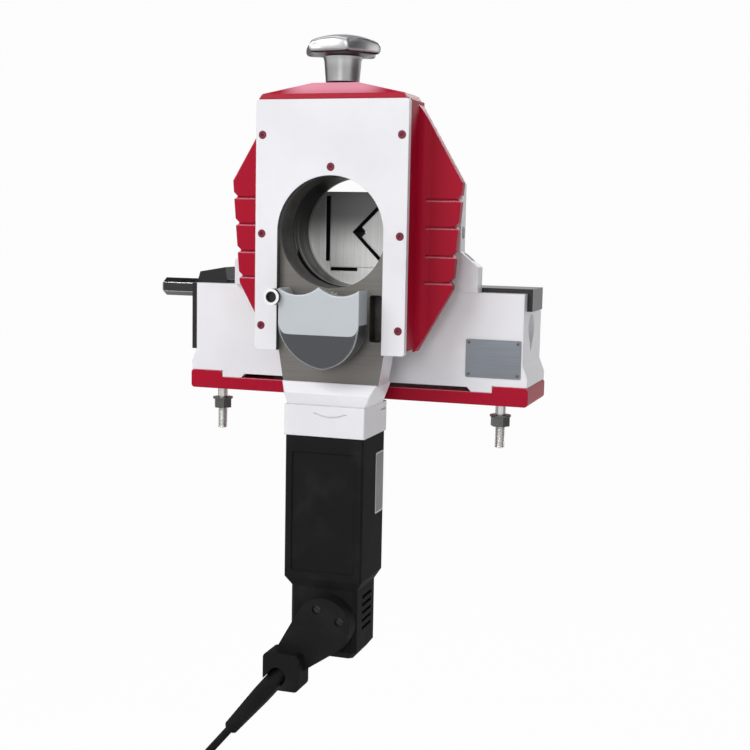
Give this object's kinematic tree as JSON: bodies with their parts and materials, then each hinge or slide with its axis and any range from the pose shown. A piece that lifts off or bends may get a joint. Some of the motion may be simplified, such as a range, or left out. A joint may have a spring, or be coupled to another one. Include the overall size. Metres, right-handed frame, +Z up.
{
  "type": "orbital pipe cutting machine",
  "caption": "Bench-mounted orbital pipe saw: self-centring jaw vice on a box base, a rotor in an upright, and a radially fed saw head with motor, guard and hand knob.",
  "frame": {"origin": "centre of the mounting plate's underside, on the bench", "axes": "+Z up from the bench, +Y along the pipe away from the saw head, +X to the right when facing the saw head"},
  "size_m": [0.469, 0.221, 1.1404],
  "materials": {
    "white_paint": "slightly textured gloss paint",
    "red_paint": "slightly textured gloss paint",
    "dark_red_screws": "painted",
    "black_covers": "satin",
    "black_plastic": "fine grain",
    "cord_rubber": "matt",
    "black_screws": "black oxide",
    "machined_steel": "machined",
    "plated_steel": "zinc plated",
    "stainless_jaws": "ground stainless",
    "polished_knob": "polished",
    "guard_grey": "silver grey lacquer",
    "blade_steel": "ground",
    "bronze": "machined",
    "rating_plate": "bare brushed",
    "motor_core": "laminated",
    "carbon": "carbon",
    "switch_red": "moulded"
  },
  "bodies": {
    "base": {"mounting_plate": "red_paint", "base_casting": "white_paint", "bearing_upright": "white_paint", "upright_screws": "black_screws", "outer_bearing_ring": "machined_steel", "spindle_bushes": "bronze", "left_end_plate": "black_covers", "left_spindle_cover": "black_covers", "right_spindle_cover": "black_covers", "rating_plate": "rating_plate", "bench_studs": "plated_steel", "bench_nuts": "plated_steel"},
    "left_jaw_unit": {"left_carriage": "machined_steel", "left_jaw": "stainless_jaws", "left_jaw_screws": "black_screws", "left_spindle_nut": "bronze"},
    "right_jaw_unit": {"right_carriage": "machined_steel", "right_jaw": "stainless_jaws", "right_jaw_screws": "black_screws", "right_spindle_nut": "bronze"},
    "spindle": {"clamp_spindle": "machined_steel"},
    "rotor": {"rotor_hub": "machined_steel", "inner_bearing_ring": "machined_steel", "bearing_balls": "blade_steel", "retaining_ring": "machined_steel", "guide_rails": "machined_steel", "top_bridge": "machined_steel", "front_plate": "white_paint", "plate_screws": "dark_red_screws", "left_side_cover": "red_paint", "right_side_cover": "red_paint", "top_cover": "red_paint"},
    "knob": {"hand_knob": "polished_knob", "feed_spindle": "machined_steel"},
    "slide": {"slide_frame": "machined_steel", "feed_nut": "bronze", "gear_case_cover": "machined_steel", "gearbox_housing": "white_paint", "motor_collar": "white_paint", "motor_housing": "black_plastic", "motor_end_cap": "black_plastic", "stator": "motor_core", "blade_shaft_bearings": "blade_steel", "armature_bearings": "blade_steel", "carbon_brushes": "carbon", "cable_elbow": "black_plastic", "elbow_screws": "plated_steel", "guard_pivot_bolt": "plated_steel", "cord_boot": "cord_rubber", "cord_lead": "cord_rubber", "cord_coil": "cord_rubber", "cord_tail": "cord_rubber", "plug": "cord_rubber"},
    "blade": {"blade_shaft": "machined_steel", "drive_gear": "bronze", "saw_blade": "blade_steel"},
    "motor_armature": {"armature": "motor_core", "drive_pinion": "machined_steel"},
    "guard": {"blade_guard": "guard_grey"},
    "switch": {"power_switch": "switch_red"}
  },
  "joints": [
    {"name": "left_jaw_slide", "type": "slide", "parent": "base", "child": "left_jaw_unit", "axis": [-1, 0, 0], "range_m": [0, 0.072]},
    {"name": "right_jaw_slide", "type": "slide", "parent": "base", "child": "right_jaw_unit", "axis": [1, 0, 0], "range_m": [0, 0.054]},
    {"name": "spindle_turn", "type": "hinge", "parent": "base", "child": "spindle", "pos_m": [-0.263, -0.006, 0.118], "axis": [-1, 0, 0], "range_deg": [0, 3240.1]},
    {"name": "rotor_swing", "type": "hinge", "parent": "base", "child": "rotor", "pos_m": [0, -0.0465, 0.19], "axis": [0, 1, 0], "range_deg": [-180, 180]},
    {"name": "feed_slide", "type": "slide", "parent": "rotor", "child": "slide", "axis": [0, 0, 1], "range_m": [0, 0.052]},
    {"name": "knob_turn", "type": "hinge", "parent": "rotor", "child": "knob", "pos_m": [0, -0.1, 0.4], "axis": [0, 0, 1], "range_deg": [0, 1872.1]},
    {"name": "armature_spin", "type": "hinge", "parent": "slide", "child": "motor_armature", "pos_m": [0, -0.1, -0.1], "axis": [0, 0, 1], "continuous": true},
    {"name": "blade_spin", "type": "hinge", "parent": "slide", "child": "blade", "pos_m": [0, -0.148, 0.095], "axis": [0, 1, 0], "continuous": true},
    {"name": "guard_swing", "type": "hinge", "parent": "slide", "child": "guard", "pos_m": [-0.052, -0.15, 0.12], "axis": [0, 1, 0], "range_deg": [0, 100]},
    {"name": "switch_slide", "type": "slide", "parent": "slide", "child": "switch", "axis": [0, 0, 1], "range_m": [0, 0.005]}
  ],
  "couplings": [
    {"joint": "right_jaw_slide", "follows": "left_jaw_slide", "ratio": 0.75},
    {"joint": "spindle_turn", "follows": "left_jaw_slide", "rad_per_m": 785.4},
    {"joint": "knob_turn", "follows": "feed_slide", "rad_per_m": 628.32},
    {"joint": "blade_spin", "follows": "armature_spin", "ratio": -0.33333}
  ]
}
